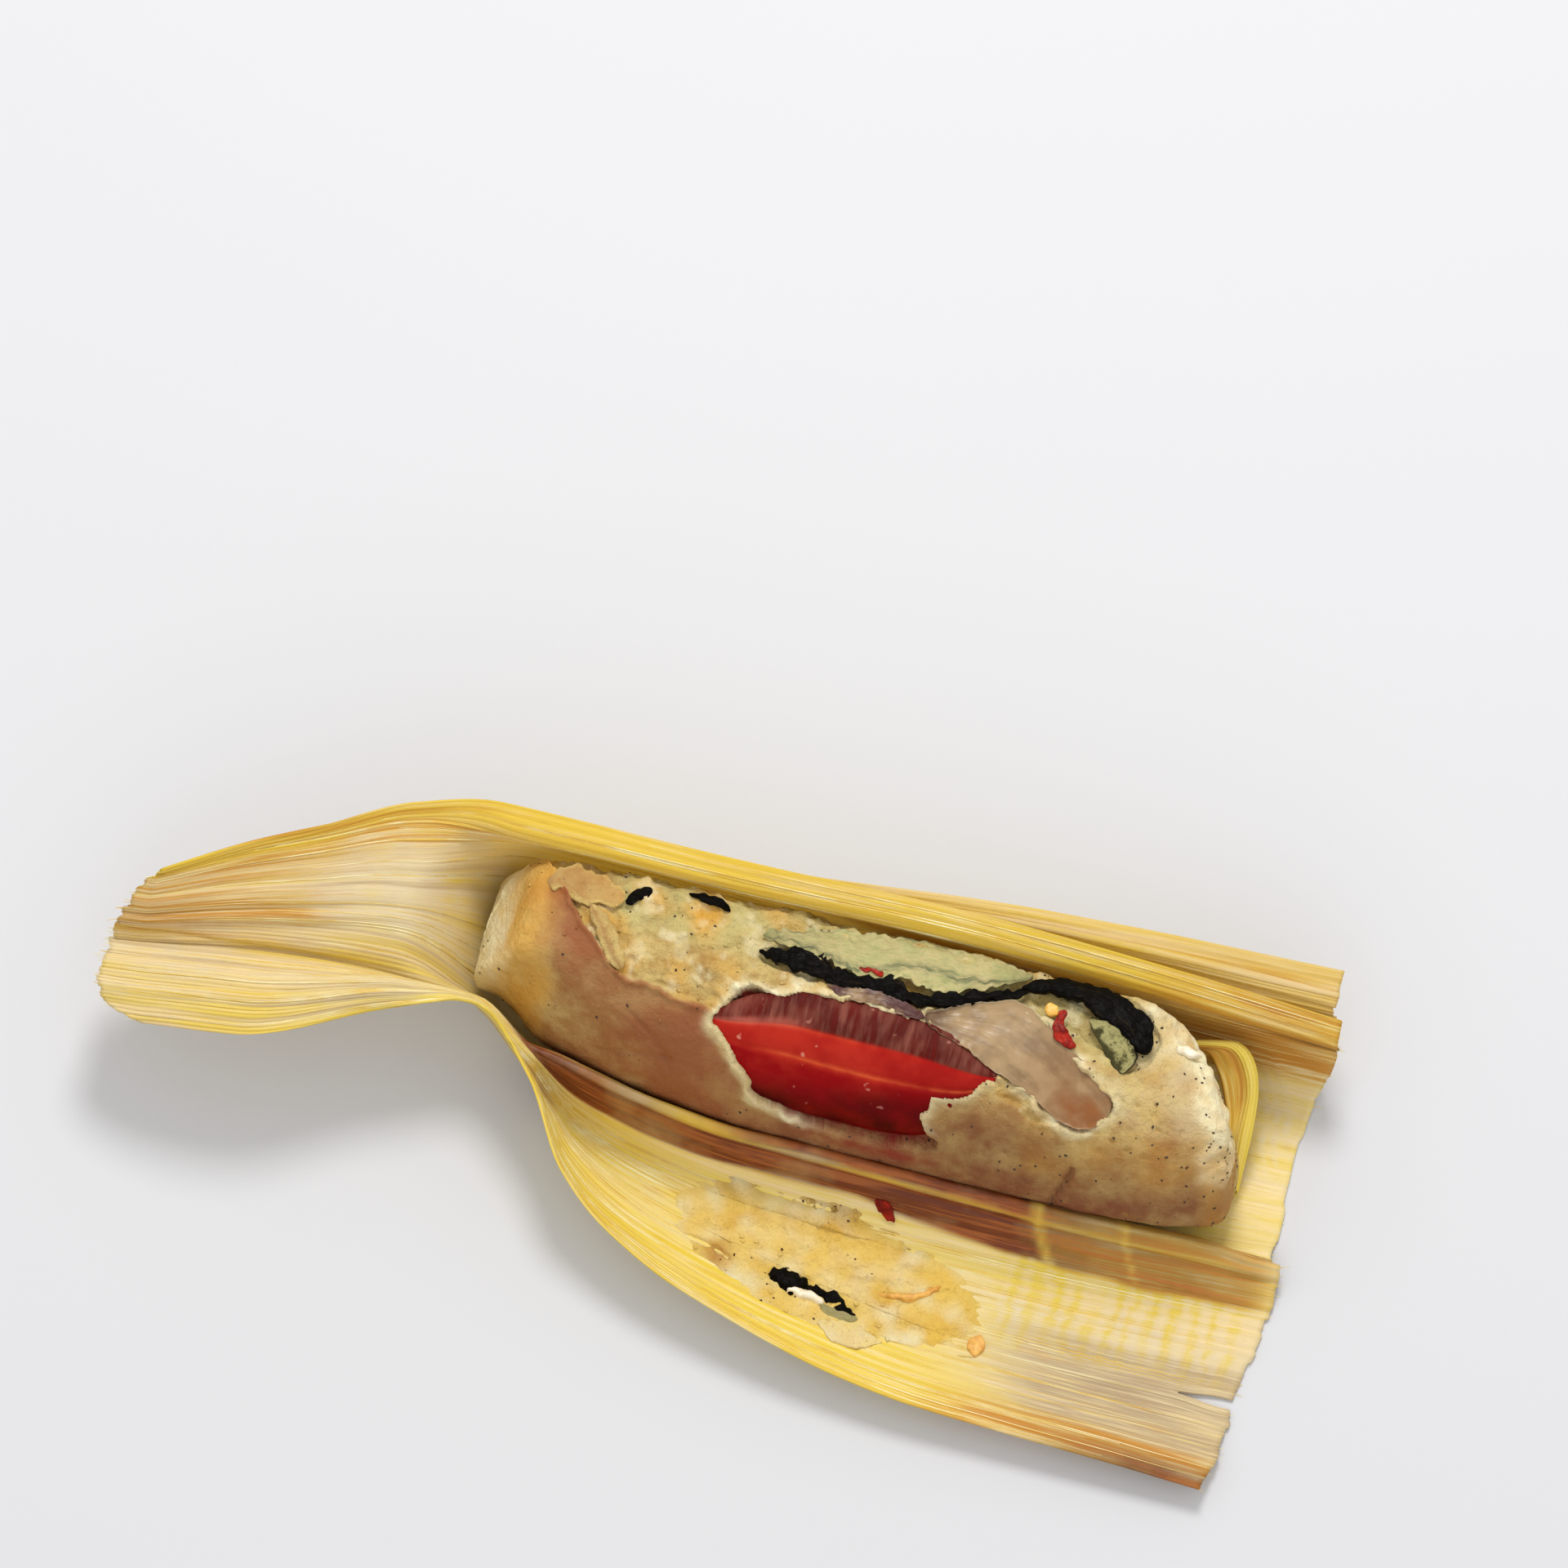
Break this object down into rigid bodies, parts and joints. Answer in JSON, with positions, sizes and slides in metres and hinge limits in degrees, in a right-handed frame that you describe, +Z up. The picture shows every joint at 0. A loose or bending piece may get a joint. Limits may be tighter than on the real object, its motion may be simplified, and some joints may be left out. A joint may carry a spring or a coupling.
{
  "type": "opened tamale",
  "caption": "Tamale opened on its corn husk: a bar of steamed corn dough with vegetables showing through its torn top, in a boat-shaped dry husk with a flared tail.",
  "frame": {"origin": "middle of the husk's flat underside, beneath the middle of the masa, at the height it rests on", "axes": "+X along the masa from the husk's tail to its cut end, +Y to the husk's standing back wall, +Z up out of the open top"},
  "size_m": [0.2101, 0.0918, 0.0316],
  "materials": {
    "husk": "dry fibrous corn husk, satin",
    "masa": "steamed corn dough, matt, fine crumb",
    "tomato": "cooked tomato, wet",
    "onion": "cooked onion, glassy",
    "pepper_skin": "charred pepper skin, wet",
    "pepper_flesh": "cooked pepper flesh, moist"
  },
  "bodies": {
    "root": {"husk": "husk", "husk_outer_leaf": "husk", "husk_curl": "husk", "masa": "masa", "masa_smear": "masa", "tomato": "tomato", "onion": "onion", "pepper_long": "pepper_skin", "pepper_hook": "pepper_skin", "pepper_scrap": "pepper_skin", "pepper_flesh": "pepper_flesh"}
  },
  "joints": []
}
